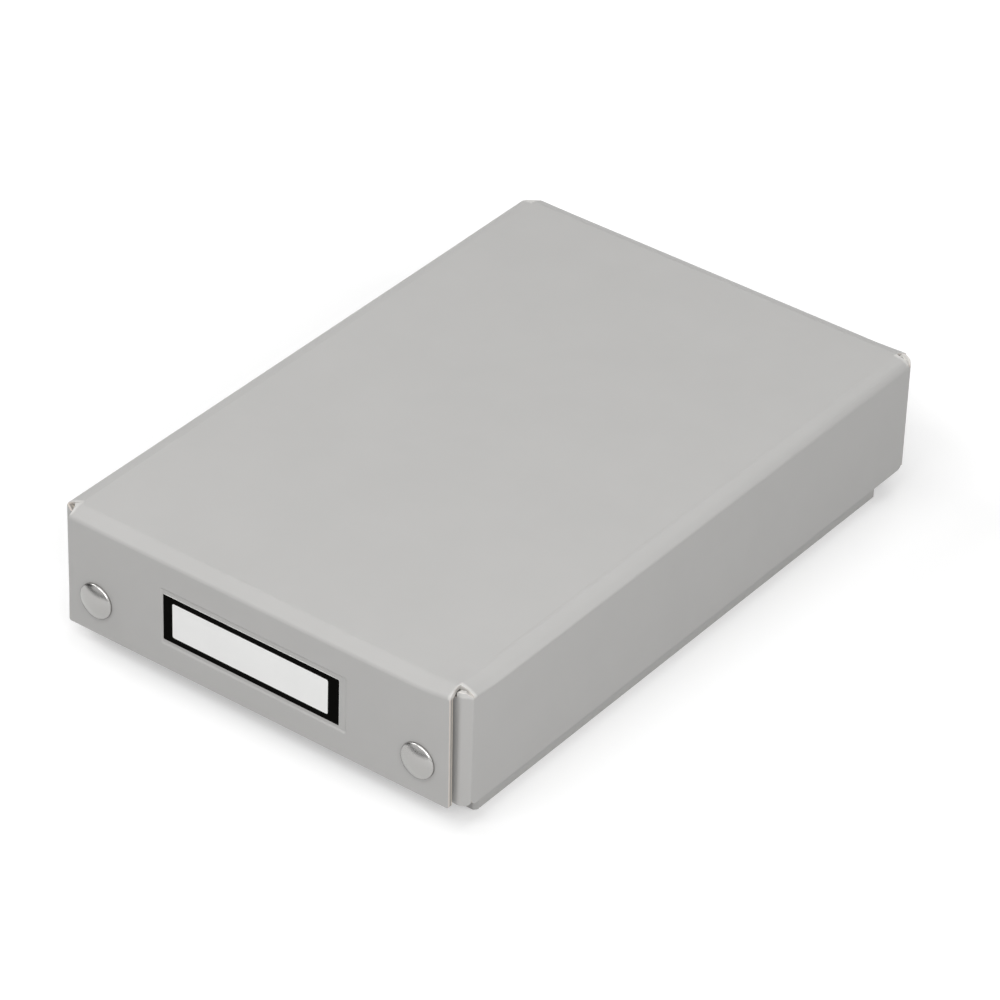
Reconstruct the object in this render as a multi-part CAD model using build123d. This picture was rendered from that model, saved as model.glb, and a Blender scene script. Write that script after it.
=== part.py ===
from build123d import *
import math
import os

# A desk tray of scored and folded board: a lid that telescopes over an inner tray.
# The lid's end flaps close over its corner tabs with snap fasteners, and so do the tray's corners.
# Millimetres. X runs along the front, Y from front to back and Z up from the tray's underside.
# The origin is under the middle of the lid.

# Board of both blanks
board = 1.6

# Lid, measured over its outer faces
lid_width = 143.4
lid_depth = 219.0
lid_height = 38.0
lid_lower_edge = 7.6
wall_corner_radius = 2.2

# Slanted shoulders between the two creases of the lid's upper folds
side_shoulder_width = 5.0
side_shoulder_drop = 2.1
end_shoulder_depth = 4.6
end_shoulder_drop = 2.1
notch_gap = 0.6

# Lid end flaps, set in from the lid's sides
flap_inset = 3.7
flap_corner_radius = 1.4

# Corner tabs of the lid and of the tray
tab_length = 28.0
tab_corner_radius = 3.0
tab_top_gap = 0.2

# Slanted band where a lid wall turns into its tab
lid_fold_width = 3.0
lid_fold_depth = 1.0

# Tray, placed inside the lid by the room left around it
tray_side_clearance = 1.1
tray_front_room = 5.7
tray_back_room = 8.5
tray_seat_gap = 0.3
tray_fold = 1.2
tray_tab_lift = 0.8
tray_corner_radius = 1.0
end_wall_clearance = 0.6

# Label, and the pressed recess around it
label_width = 62.4
label_height = 15.4
label_thickness = 0.15
label_drop = 20.6
label_offset = -1.6
recess_depth = 0.35
recess_side_margin = 1.45
recess_top_margin = 2.7
recess_bottom_margin = 1.6
recess_corner_radius = 0.6

# Places of the snap fasteners, and the fit of their pieces
lid_snap_edge = 10.9
lid_snap_lift = 11.6
tray_snap_edge = 13.5
tray_snap_drop = 20.5
snap_fit = 0.03

# Snap cap with its barrel
cap_diameter = 11.4
cap_height = 2.4
cap_rim = 0.5
cap_wall = 0.45
cap_rim_radius = 0.2
barrel_wall = 0.4
barrel_roll_width = 0.8
barrel_roll_thickness = 0.25

# Snap socket and the hairpin spring inside it
socket_wall = 0.35
socket_lip = 0.3
socket_roll_clearance = 0.95
socket_face_gap = 0.15
spring_wire = 0.5
spring_play = 0.05
spring_clearance = 0.1

# Snap stud and the post that holds it
stud_flange_diameter = 8.4
stud_flange = 0.35
stud_head_diameter = 4.6
stud_head_height = 1.0
stud_undercut = 0.35
stud_crown = 0.4
stud_mouth_clearance = 0.35
stud_bore_clearance = 0.4
post_head_diameter = 9.2
post_head = 0.6
post_head_radius = 0.25
post_shank_diameter = 2.2
post_tip_gap = 0.2

# The gap between two snapped boards holds the socket, the spring with its play and the stud's flange
socket_depth = socket_wall + barrel_roll_thickness + spring_wire + 2 * spring_play + socket_lip
snap_gap = socket_depth + socket_face_gap + stud_flange

# Levels and faces worked out from the sizes above
lid_top = lid_lower_edge + lid_height
lid_side = lid_width / 2
lid_end = lid_depth / 2
flap_side = lid_side - flap_inset
lid_tab_face = lid_end - board - snap_gap
end_crease = lid_end - end_shoulder_depth
end_slope = end_shoulder_drop / end_shoulder_depth
tab_run = max(lid_tab_face - end_crease, 0)
tab_ceiling = lid_top - tab_run * end_slope - board * math.hypot(1, end_slope)

tray_side = lid_side - board - tray_side_clearance
tray_front = -(lid_tab_face - board - tray_front_room)
tray_back = lid_tab_face - board - tray_back_room
side_slope = side_shoulder_drop / side_shoulder_width
seat_run = max(tray_side - (lid_side - side_shoulder_width), 0)
tray_top = lid_top - seat_run * side_slope - board * math.hypot(1, side_slope) - tray_seat_gap
tray_wall_front = tray_front + board + snap_gap
tray_wall_back = tray_back - board - snap_gap

ends = ("front", "back")


def board_normal(start, end):
    """Unit normal on the left of a line, the side on which the board's thickness lies."""
    along = (Vector(*end) - Vector(*start)).normalized()
    return Vector(-along.Y, along.X)


def inner_corner(path, index):
    """The point of the board's inner face behind one point of a path along its outer face."""
    last_run = len(path) - 2
    before = max(index - 1, 0)
    after = min(index, last_run)
    normals = board_normal(path[before], path[before + 1]) + board_normal(path[after], path[after + 1])
    return Vector(*path[index]) + normals * (2 * board / normals.dot(normals))


def board_section(path, first, last):
    """Section of the board between two points of a folded path, mitred where the path turns."""
    outer = [Vector(*point) for point in path[first:last + 1]]
    inner = [inner_corner(path, index) for index in range(last, first - 1, -1)]
    return make_face(Polyline(*outer, *inner, close=True))


def both_sides(half_path):
    """A section path carried on past the middle as its own mirror image."""
    return half_path + [(-distance, level) for distance, level in reversed(half_path)]


def along_x(section, half_width):
    """A section drawn in Y and Z, carried to both sides of the middle."""
    return extrude(Plane.YZ * section, amount=half_width, both=True)


def along_y(section, half_depth):
    """A section drawn in X and Z, carried to the front and the back of the middle."""
    return extrude(Plane.XZ * section, amount=half_depth, both=True)


def wall_plan(side, front, back, fold_width, fold_depth):
    """Plan of a right-hand wall and its two tabs, along their outer faces from front to back."""
    tab_end = side - tab_length
    fold_start = side - fold_width
    return [
        (tab_end, front),
        (fold_start, front),
        (side, front + fold_depth),
        (side, back - fold_depth),
        (fold_start, back),
        (tab_end, back),
    ]


def round_lower_corners(wall, radius):
    """A wall with its two lower end corners rounded."""
    foot = wall.faces().sort_by(Axis.Z)[0]
    return fillet(foot.edges().sort_by(SortBy.LENGTH)[:2], radius)


def round_tab(tab):
    """A right-hand tab with the two corners of its free end rounded."""
    free_end = tab.faces().sort_by(Axis.X)[0]
    return fillet(free_end.edges().filter_by(Axis.Y), tab_corner_radius)


def punched(panel, radius, places):
    """A panel with round holes through it along Y, larger than a barrel or shank by the fit."""
    hole = Cylinder(radius + snap_fit, 2 * lid_depth, rotation=(90, 0, 0))
    for x, z in places:
        panel = panel - Pos(x, 0, z) * hole
    return panel


def turned(points, *curves):
    """A body turned about Y from an outline of radius and distance along the axis."""
    outline = Curve() + Polyline(*points) + list(curves)
    return revolve(make_face(outline), Axis.Y)


def dome(radius, height, rim):
    """A solid dome on a short cylindrical rim, its base at zero and its crown towards minus Y."""
    crown = TangentArc((0, -height), (radius, -rim), tangent=(1, 0))
    return turned([(radius, -rim), (radius, 0), (0, 0), (0, -height)], crown)


def ring(outer_radius, inner_radius, start, end):
    """A plain ring about Y between two distances along it."""
    return turned([(inner_radius, start), (outer_radius, start), (outer_radius, end), (inner_radius, end),
                   (inner_radius, start)])


def rims(body):
    """The round edges of a turned body, in groups from its outer end inwards."""
    return body.edges().filter_by(lambda edge: edge.is_closed).group_by(Axis.Y)


# Distances along a snap, from the outer face of its outer board inwards
snap_socket_base = board
snap_stud_face = board + snap_gap
snap_post_face = snap_stud_face + board
snap_socket_face = snap_socket_base + socket_depth
snap_roll_start = snap_socket_base + socket_wall
snap_roll_end = snap_roll_start + barrel_roll_thickness
snap_spring_level = snap_roll_end + spring_play + spring_wire / 2
snap_neck_end = snap_roll_end
snap_head_end = snap_neck_end - stud_head_height

# Radii of a snap, from its stud outwards
stud_head_radius = stud_head_diameter / 2
barrel_bore = stud_head_radius + stud_bore_clearance
barrel_radius = barrel_bore + barrel_wall
roll_radius = barrel_radius + barrel_roll_width
socket_cavity = roll_radius + socket_roll_clearance
socket_radius = socket_cavity + socket_wall
post_hole = post_shank_diameter / 2 + snap_fit
post_tip = snap_head_end + stud_crown + post_tip_gap


def snap_cap():
    """Domed cap, hollow, with a barrel through the board that is rolled over inside the socket."""
    shell = dome(cap_diameter / 2, cap_height, cap_rim)
    shell = fillet(rims(shell)[0], cap_rim_radius)
    hollow = dome(cap_diameter / 2 - cap_wall, cap_height - cap_wall, cap_rim)
    barrel_top = ring(barrel_radius, barrel_bore, -cap_height, 0) & shell
    barrel = ring(barrel_radius, barrel_bore, 0, snap_roll_end)
    roll = ring(roll_radius, barrel_bore, snap_roll_start, snap_roll_end)
    return shell - hollow + barrel_top + barrel + roll


def snap_socket():
    """Ring against the board's inner face, with an inward lip that keeps the spring in."""
    hole = barrel_radius + snap_fit
    mouth = stud_head_radius + stud_mouth_clearance
    return turned([
        (hole, snap_socket_base),
        (socket_radius, snap_socket_base),
        (socket_radius, snap_socket_face),
        (mouth, snap_socket_face),
        (mouth, snap_socket_face - socket_lip),
        (socket_cavity, snap_socket_face - socket_lip),
        (socket_cavity, snap_roll_start),
        (hole, snap_roll_start),
        (hole, snap_socket_base),
    ])


def snap_spring():
    """Hairpin of round wire around the stud, its legs spread just clear of the stud's head."""
    wire_radius = spring_wire / 2
    leg = stud_head_radius + spring_clearance + wire_radius
    reach = socket_cavity - spring_play
    bow_centre = reach - wire_radius - leg
    leg_end = -math.sqrt(reach ** 2 - (leg + wire_radius) ** 2)
    right_leg = Line((leg, leg_end), (leg, bow_centre))
    bow = ThreePointArc((leg, bow_centre), (0, bow_centre + leg), (-leg, bow_centre))
    left_leg = Line((-leg, bow_centre), (-leg, leg_end))
    hairpin = Wire([right_leg, bow, left_leg])
    wire_section = Plane(origin=hairpin @ 0, z_dir=hairpin % 0) * Circle(wire_radius)
    return Plane.XZ * Pos(0, 0, -snap_spring_level) * sweep(wire_section, path=hairpin)


def snap_stud():
    """Ball-headed stud on a flange, bored from behind for its post."""
    flange = stud_flange_diameter / 2
    neck = stud_head_radius - stud_undercut
    shoulder = snap_head_end + stud_crown
    bore_end = post_tip - post_tip_gap / 2
    crown = TangentArc((0, snap_head_end), (stud_head_radius, shoulder), tangent=(1, 0))
    return turned([
        (stud_head_radius, shoulder),
        (stud_head_radius, snap_neck_end),
        (neck, snap_neck_end),
        (neck, snap_stud_face - stud_flange),
        (flange, snap_stud_face - stud_flange),
        (flange, snap_stud_face),
        (post_hole, snap_stud_face),
        (post_hole, bore_end),
        (0, bore_end),
        (0, snap_head_end),
    ], crown)


def snap_post():
    """Flat-headed post from the inner board's far face into the stud."""
    head = ring(post_head_diameter / 2, 0, snap_post_face, snap_post_face + post_head)
    head = fillet(rims(head)[-1], post_head_radius)
    shank = ring(post_shank_diameter / 2, 0, post_tip, snap_post_face)
    return head + shank


snap_pieces = {
    "caps": snap_cap(),
    "sockets": snap_socket(),
    "springs": snap_spring(),
    "studs": snap_stud(),
    "posts": snap_post(),
}


def snap_nodes(owner, places, faces):
    """Each kind of snap piece at both ends of the lid or the tray, as a pair of separate solids."""
    nodes = {}
    for end, face, turn in zip(ends, faces, (0, 180)):
        for kind, piece in snap_pieces.items():
            pair = [Pos(x, face, z) * Rot(0, 0, turn) * piece for x, z in places]
            nodes[f"{owner}_{end}_snap_{kind}"] = Compound(children=pair)
    return nodes


def left_and_right(right_piece, name):
    """A right-hand piece and its mirror image on the left, under their two names."""
    left_piece = mirror(right_piece, about=Plane.YZ)
    return {name.format(side="right"): right_piece, name.format(side="left"): left_piece}


def snap_places(half_spacing, level):
    """Places of the two snaps of an end."""
    return [(-half_spacing, level), (half_spacing, level)]


def lid_nodes():
    """The lid's panels, folded from one blank, and its snaps."""
    across = both_sides([
        (lid_side, lid_lower_edge),
        (lid_side, lid_top - side_shoulder_drop),
        (lid_side - side_shoulder_width, lid_top),
    ])
    lengthways = both_sides([
        (lid_end, lid_lower_edge),
        (lid_end, lid_top - end_shoulder_drop),
        (end_crease, lid_top),
    ])
    plan = wall_plan(lid_side, -lid_tab_face, lid_tab_face, lid_fold_width, lid_fold_depth)
    places = snap_places(flap_side - lid_snap_edge, lid_lower_edge + lid_snap_lift)

    flat_top = along_y(board_section(across, 2, 3), lid_end)
    flat_top = flat_top & along_x(board_section(lengthways, 2, 3), lid_side)
    back_shoulder = along_x(board_section(lengthways, 1, 2), flap_side)
    nodes = {"lid_top_panel": flat_top + back_shoulder + mirror(back_shoulder, about=Plane.XZ)}

    upright = along_y(board_section(across, 0, 1), lid_end) & extrude(board_section(plan, 2, 3), lid_top)
    upright = round_lower_corners(upright, wall_corner_radius)
    side_shoulder = along_y(board_section(across, 1, 2), end_crease - notch_gap)
    nodes |= left_and_right(upright + side_shoulder, "lid_{side}_wall")

    tab_top = min(tab_ceiling, inner_corner(across, 1).Y) - tab_top_gap
    tab_height = tab_top - lid_lower_edge
    for end, first in zip(ends, (0, 3)):
        tab = Pos(0, 0, lid_lower_edge) * extrude(board_section(plan, first, first + 2), tab_height)
        tab = punched(round_tab(tab), post_shank_diameter / 2, places)
        nodes |= left_and_right(tab, "lid_" + end + "_{side}_tab")

    flap = along_x(board_section(lengthways, 0, 1), flap_side)
    flap_foot = flap.faces().sort_by(Axis.Z)[0]
    flap = fillet(flap_foot.edges().filter_by(Axis.Y), flap_corner_radius)
    flap = punched(flap, barrel_radius, places)
    nodes["lid_back_flap"] = flap
    nodes["lid_front_flap"] = mirror(flap, about=Plane.XZ) - label_recess()
    return nodes | snap_nodes("lid", places, (-lid_end, lid_end))


def label_recess():
    """The shallow rectangle pressed into the front flap around the label."""
    width = label_width + 2 * recess_side_margin
    height = label_height + recess_top_margin + recess_bottom_margin
    level = lid_top - label_drop + (recess_top_margin - recess_bottom_margin) / 2
    outline = RectangleRounded(width, height, recess_corner_radius)
    return Pos(label_offset, -lid_end, level) * extrude(Plane.XZ * outline, amount=recess_depth, both=True)


def label():
    """The paper label, stuck to the floor of its recess."""
    sheet = Box(label_width, label_thickness, label_height)
    depth = recess_depth - label_thickness / 2
    return Pos(label_offset, depth - lid_end, lid_top - label_drop) * sheet


def tray_nodes():
    """The tray's panels, folded from one blank, and its snaps."""
    across = both_sides([
        (-tray_side, tray_top),
        (-tray_side, tray_fold),
        (tray_fold - tray_side, 0),
    ])
    lengthways = [
        (tray_wall_front, tray_top),
        (tray_wall_front, tray_fold),
        (tray_wall_front + tray_fold, 0),
        (tray_wall_back - tray_fold, 0),
        (tray_wall_back, tray_fold),
        (tray_wall_back, tray_top),
    ]
    plan = wall_plan(tray_side, tray_front, tray_back, tray_fold, tray_fold)
    places = snap_places(tray_side - tray_snap_edge, tray_top - tray_snap_drop)

    floor = along_y(board_section(across, 2, 3), lid_end)
    floor = floor & along_x(board_section(lengthways, 2, 3), tray_side)
    nodes = {"tray_floor": floor}

    upright = along_y(board_section(across, 4, 5), lid_end) & extrude(board_section(plan, 2, 3), tray_top)
    fold_length = tray_back - tray_front - 2 * (tray_fold + tray_corner_radius)
    fold = along_y(board_section(across, 3, 4), fold_length / 2)
    fold = Pos(0, (tray_front + tray_back) / 2, 0) * fold
    nodes |= left_and_right(upright + fold, "tray_{side}_wall")

    tab_height = tray_top - tray_tab_lift
    for end, first in zip(ends, (0, 3)):
        tab = Pos(0, 0, tray_tab_lift) * extrude(board_section(plan, first, first + 2), tab_height)
        tab = punched(round_tab(tab), barrel_radius, places)
        nodes |= left_and_right(tab, "tray_" + end + "_{side}_tab")

    half_width = tray_side - board - end_wall_clearance
    for end, first in zip(ends, (0, 3)):
        wall = along_x(board_section(lengthways, first, first + 2), half_width)
        nodes[f"tray_{end}_wall"] = punched(wall, post_shank_diameter / 2, places)
    return nodes | snap_nodes("tray", places, (tray_front, tray_back))


os.makedirs("parts", exist_ok=True)
for node, shape in {**lid_nodes(), **tray_nodes(), "label": label()}.items():
    export_step(shape, f"parts/{node}.step")
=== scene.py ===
import math
from functools import partial

import bmesh
import bpy
import numpy as np
from mathutils import Matrix, Vector


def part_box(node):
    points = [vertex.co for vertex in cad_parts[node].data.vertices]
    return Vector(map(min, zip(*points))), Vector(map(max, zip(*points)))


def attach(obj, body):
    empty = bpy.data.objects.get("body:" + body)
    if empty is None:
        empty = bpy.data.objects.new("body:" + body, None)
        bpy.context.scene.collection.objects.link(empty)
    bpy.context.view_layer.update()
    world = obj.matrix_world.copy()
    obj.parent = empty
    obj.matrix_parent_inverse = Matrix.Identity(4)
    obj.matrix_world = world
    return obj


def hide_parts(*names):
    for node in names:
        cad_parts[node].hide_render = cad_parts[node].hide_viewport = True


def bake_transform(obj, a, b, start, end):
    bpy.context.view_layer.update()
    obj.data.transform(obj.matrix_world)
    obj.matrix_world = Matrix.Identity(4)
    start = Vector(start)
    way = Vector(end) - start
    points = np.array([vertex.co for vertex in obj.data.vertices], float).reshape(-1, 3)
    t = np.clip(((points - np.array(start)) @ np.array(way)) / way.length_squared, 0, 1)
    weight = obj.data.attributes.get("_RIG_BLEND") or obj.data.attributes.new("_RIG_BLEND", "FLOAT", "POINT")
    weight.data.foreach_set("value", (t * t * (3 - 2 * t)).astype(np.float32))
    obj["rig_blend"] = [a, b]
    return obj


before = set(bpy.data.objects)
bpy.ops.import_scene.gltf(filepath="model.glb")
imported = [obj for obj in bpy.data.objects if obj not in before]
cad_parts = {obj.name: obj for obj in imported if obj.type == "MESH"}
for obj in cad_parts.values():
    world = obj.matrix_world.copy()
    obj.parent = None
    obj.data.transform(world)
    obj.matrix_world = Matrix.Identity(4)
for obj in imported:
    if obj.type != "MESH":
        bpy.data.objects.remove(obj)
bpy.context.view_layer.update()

# A desk tray of folded board: a lid with snapped end flaps over an inner tray. Metres.
# X runs along the front, Y from front to back and Z up from the tray's underside.

scene = bpy.context.scene
scene.view_settings.view_transform = "Standard"


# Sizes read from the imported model
def low(node):
    """Lowest corner of a CAD node."""
    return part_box(node)[0]


def high(node):
    """Highest corner of a CAD node."""
    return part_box(node)[1]


lid_top = high("lid_top_panel").z
lid_foot = low("lid_front_flap").z
lid_side = high("lid_right_wall").x
lid_end = high("lid_back_flap").y
flap_side = high("lid_back_flap").x
flap_crease = high("lid_back_flap").z
board = lid_end - low("lid_back_flap").y
lid_tab_end = low("lid_back_right_tab").x
lid_tab_face = high("lid_back_right_tab").y
lid_tab_top = high("lid_back_right_tab").z
tray_side = high("tray_right_wall").x
tray_front = low("tray_front_right_tab").y
tray_back = high("tray_back_right_tab").y
tray_top = high("tray_right_wall").z
tray_tab_end = low("tray_back_right_tab").x
tray_tab_foot = low("tray_back_right_tab").z
tray_wall_front = low("tray_front_wall").y
tray_wall_back = high("tray_back_wall").y
tray_wall_side = high("tray_back_wall").x
cap_radius = (high("lid_front_snap_caps").z - low("lid_front_snap_caps").z) / 2
cap_height = -lid_end - low("lid_front_snap_caps").y

# Shoulders of the lid and folds of both blanks. The side shoulders are worn flat towards the back,
# the end creases soften at the corners, and the two right corners stand a little proud.
side_shoulder_width = 0.0050
side_shoulder_drop = 0.0021
worn_shoulder_drop = 0.0006
side_shoulder_bulge = 0.1
side_shoulder_bend = 0.012
shoulder_middle = 0.5
worn_shoulder_middle = 0.72
end_shoulder_depth = 0.0046
soft_corner_rise = 0.0002
soft_corner_width = 0.016
proud_corner_lifts = {"front": 0.0013, "back": 0.0004}
proud_corner_reach = 0.016
lid_fold_width = 0.0030
lid_fold_depth = 0.0010
tray_fold = 0.0012

# Notches at the lid's corners, the seams of top and walls behind them, the flaps' taper, the rounding
# of cut corners, and the corner tabs, which rise in the right notches and spring out beside their folds
notch_insets = {"left": 0.0030, "right": 0.0049}
notch_setback = 0.0049
notch_hollow = 0.0003
notch_drop = 0.0024
seam_inset = 0.0060
seam_setback = 0.0060
flap_top_inset = 0.0009
flap_foot_inset = 0.0003
relief_round = 0.0022
flap_round = 0.0008
tab_drops = {"front": 0.0011, "back": 0.0004}
tab_insets = {"front": 0.0011, "back": 0.0003}
tab_round = 0.0030
tab_spring = 0.0008
tab_spring_reach = 0.0060
tray_round = 0.0010

# Pale paint at the notches, partly scuffed paper and partly a painted highlight on the rolled rim: where it
# begins, in from the lid's faces, and how it fades
scuff_highlight_inset = 0.0046
scuff_highlight_setback = 0.0055
scuff_highlight_drop = 0.0010
scuff_highlight_fade = 0.0007
scuff_highlight_jitter = 0.0006
scuff_highlight_share = 0.7

# How softly the board bends, how far a fold reaches into the flat panel beside it, how round the cut
# edges are, and the angle from which an edge shows as sharp
side_bend = 0.0007
worn_side_bend = 0.0032
end_low_bend = 0.0014
end_high_bend = 0.0030
corner_low_bend = 0.0016
corner_high_bend = 0.0050
tab_bend = 0.0020
tab_spring_bend = 0.0200
tab_corner_bend = 0.0006
tray_bend = 0.0006
inner_bend = 0.00015
fold_reach = 0.00045
crease_reach = 0.0013
edge_round = 0.00012
least_slant = 0.3
sharp_angle = math.radians(28)

# How finely curves and bends are divided
bend_steps = 6
arc_steps = 8
hole_steps = 32
corner_steps = 8
top_notch_steps = 6
wall_notch_steps = 16
upright_spacing = 0.005
lengthwise_spacing = 0.02
turn_steps = 64
dome_steps = 16
cap_shoulder_steps = 8
hairpin_steps = 24
wire_sides = 12
merge_distance = 1e-7

# Label and its pressed recess
recess_depth = 0.00035
recess_slope = 0.0006
recess_left_margin = 0.0010
recess_right_margin = 0.0027
recess_top_margin = 0.0020
recess_bottom_margin = 0.0017
recess_round = 0.0009
border_left = 0.0033
border_right = 0.0039
border_end = 0.0019
field_round = 0.0006
label_round = 0.0003

# Snaps: radii, clearances, and distances inwards from the outer face of the outer board
cap_rim = 0.00025
cap_shoulder = 0.0009
cap_hollow = 0.0018
stud_head_radius = 0.0023
stud_neck_radius = 0.00195
stud_flange_radius = 0.0042
bore_radius = 0.0027
barrel_radius = 0.0031
roll_radius = 0.0039
socket_cavity_radius = 0.00485
socket_radius = 0.0052
socket_mouth_radius = 0.00265
post_radius = 0.0011
post_head_radius = 0.0046
hole_fit = 0.00003
wire_radius = 0.00025
wire_play = 0.0001
hairpin_play = 0.00005
stud_head_end = 0.0012
post_end = 0.0016
roll_start = 0.00195
roll_end = 0.0022
wire_level = 0.0025
socket_lip = 0.0028
socket_face = 0.0031
stud_flange_face = 0.00325
stud_face = 0.0036
post_face = 0.0052
post_head_face = 0.0058


# Board panels: a flat blank of cut runs and joints, folded along a section
def eased(share):
    """A share between 0 and 1 with soft ends."""
    share = min(max(share, 0), 1)
    return share * share * (3 - 2 * share)


def rounded_line(points, radii):
    """A line of straight runs with every inner corner rounded, by as many points at each corner."""
    line = [points[0]]
    for before, corner, after, radius in zip(points, points[1:], points[2:], radii):
        back = (before - corner).normalized()
        ahead = (after - corner).normalized()
        half_turn = (math.pi - back.angle(ahead)) / 2
        reach = radius * math.tan(half_turn)
        centre = corner + (back + ahead).normalized() * (radius / math.cos(half_turn))
        spoke = corner + back * reach - centre
        turn = 2 * half_turn * math.copysign(1, -back.cross(ahead))
        for step in range(bend_steps + 1):
            line.append(centre + Matrix.Rotation(turn * step / bend_steps, 2) @ spoke)
    return line + [points[-1]]


def inner_line(points, depth):
    """A line beside another, on its left by a depth, mitred at the corners."""
    normals = []
    for start, end in zip(points, points[1:]):
        along = (end - start).normalized()
        normals.append(Vector((-along.y, along.x)))
    inner = []
    for before, point, after in zip(normals[:1] + normals, points, normals + normals[-1:]):
        both = before + after
        inner.append(point + both * (2 * depth / both.length_squared))
    return inner


class Section:
    """A folded section: its outer and inner faces at each distance along the flat blank."""

    def __init__(self, points, radii):
        points = [Vector(point) for point in points]
        outer = rounded_line(points, radii)
        inner = rounded_line(inner_line(points, board), [inner_bend] * len(radii))
        lengths = [(b - a).length for a, b in zip(outer, outer[1:])]
        self.along = np.concatenate(([0], np.cumsum(lengths)))
        self.outer = np.array(outer)
        self.inner = np.array(inner)
        self.length = self.along[-1]
        self.bends = list(self.along[1:-1])

    def at(self, distance, depth):
        """The point of the section at a distance along it and a share of the way through the board."""
        outer = [np.interp(distance, self.along, self.outer[:, axis]) for axis in (0, 1)]
        inner = [np.interp(distance, self.along, self.inner[:, axis]) for axis in (0, 1)]
        return Vector(outer).lerp(Vector(inner), depth)

    def distance(self, value, axis):
        """The distance along the section at which its outer face reaches a value."""
        values = self.outer[:, axis]
        order = 1 if values[-1] > values[0] else -1
        return float(np.interp(order * value, order * values, self.along))


class Fold:
    """A section that is crisp in some places and softer in others."""

    def __init__(self, crisp, soft):
        self.crisp = crisp
        self.soft = soft
        self.start = min(crisp.along[1], soft.along[1])
        self.ratio = (soft.length - self.start) / (crisp.length - self.start)
        self.length = crisp.length
        from_soft = [self.start + (along - self.start) / self.ratio for along in soft.bends]
        self.bends = sorted(crisp.bends + from_soft)

    def at(self, distance, depth, softness):
        """The point at a distance along the crisp section, moved towards the soft one."""
        soft_distance = self.start + (distance - self.start) * self.ratio
        soft_distance = distance if distance < self.start else soft_distance
        return self.crisp.at(distance, depth).lerp(self.soft.at(soft_distance, depth), softness)


def corner_arc(centre, radius, start, turn, steps=arc_steps):
    """Points of a rounded corner of an outline. Angles in degrees."""
    points = []
    for step in range(steps + 1):
        angle = math.radians(start + turn * step / steps)
        points.append((centre[0] + radius * math.cos(angle), centre[1] + radius * math.sin(angle)))
    return points


def rounded_rectangle(low_corner, high_corner, radius):
    """Outline of a rectangle with its four corners rounded."""
    (left, bottom), (right, top) = low_corner, high_corner
    left, bottom, right, top = left + radius, bottom + radius, right - radius, top - radius
    outline = []
    for quarter, centre in enumerate(((right, top), (left, top), (left, bottom), (right, bottom))):
        outline += corner_arc(centre, radius, 90 * quarter, 90)
    return outline


def ring_of(blank, points):
    """A closed ring of edges on a flat blank."""
    corners = [blank.verts.new((along, across, 0)) for along, across in points]
    edges = [blank.edges.new(pair) for pair in zip(corners, corners[1:] + corners[:1])]
    return corners, edges


def strip_between(shape, ring, other):
    """The faces between two rings of corners."""
    return [shape.faces.new((ring[index - 1], ring[index], other[index], other[index - 1]))
            for index in range(len(ring))]


def on_joint(corner, joint_end, cut_end):
    """The point of a joint at which the rounding of the cut edge beside it begins."""
    joint = (Vector(joint_end) - corner).normalized()
    cut = (cut_end - corner).normalized()
    return corner + joint * (edge_round / max(abs(joint.cross(cut)), least_slant))


def cut_strip(blank, run, inside):
    """The narrow strip along a cut edge that the knife has rounded over."""
    sunk = blank.verts.layers.float["sunk"]
    edge = [blank.verts.new((*point, 0)) for point in run]
    inner = [blank.verts.new((*point, 0)) for point in inside]
    for corner in edge:
        corner[sunk] = 1
    for a, b, c, d in zip(edge, edge[1:], inner[1:], inner):
        blank.faces.new((a, b, c, d))
    return inner, [blank.edges.get(pair) for pair in zip(inner, inner[1:])]


def flat_blank(runs, holes, pressed, bends, cross_bends):
    """The flat blank as a mesh, cut along the lines at which it will bend.

    runs are its cut edges, anticlockwise, with a straight joint from the end of each to the next.
    A run of one point is a corner between two joints.
    """
    blank = bmesh.new()
    blank.verts.layers.float.new("sunk")
    edges = []
    strips = []
    for index, run in enumerate(runs):
        line = [Vector(point) for point in run]
        if len(line) == 1:
            strips.append([blank.verts.new((*line[0], 0))])
            continue
        inside = inner_line(line, edge_round)
        inside[0] = on_joint(line[0], runs[index - 1][-1], line[1])
        inside[-1] = on_joint(line[-1], runs[(index + 1) % len(runs)][0], line[-2])
        inner, inner_edges = cut_strip(blank, line, inside)
        strips.append(inner)
        edges += inner_edges
    for before, after in zip(strips[-1:] + strips, strips):
        edges.append(blank.edges.new((before[-1], after[0])))
    for centre, radius in holes:
        circle = [Vector(point) for point in corner_arc(centre, radius, 0, -360, hole_steps)]
        wider = [Vector(point) for point in corner_arc(centre, radius + edge_round, 0, -360, hole_steps)]
        edges += cut_strip(blank, circle, wider)[1]
    bmesh.ops.remove_doubles(blank, verts=blank.verts[:], dist=merge_distance)
    edges = [edge for edge in edges if edge.is_valid]
    if pressed:
        rim, rim_edges = ring_of(blank, rounded_rectangle(*pressed, recess_round))
        shrink = Vector((recess_slope, recess_slope))
        inset = (Vector(pressed[0]) + shrink, Vector(pressed[1]) - shrink)
        floor, floor_edges = ring_of(blank, rounded_rectangle(*inset, recess_round - recess_slope))
        bmesh.ops.triangle_fill(blank, use_beauty=True, edges=floor_edges)
        strip_between(blank, rim, floor)
        edges += rim_edges
    bmesh.ops.triangle_fill(blank, use_beauty=True, edges=edges)
    bmesh.ops.recalc_face_normals(blank, faces=blank.faces)
    for values, normal in ((bends, Vector((1, 0, 0))), (cross_bends, Vector((0, 1, 0)))):
        for value in values:
            everything = blank.verts[:] + blank.edges[:] + blank.faces[:]
            bmesh.ops.bisect_plane(blank, geom=everything, dist=merge_distance, plane_co=normal * value,
                                   plane_no=normal)
    return blank


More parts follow.
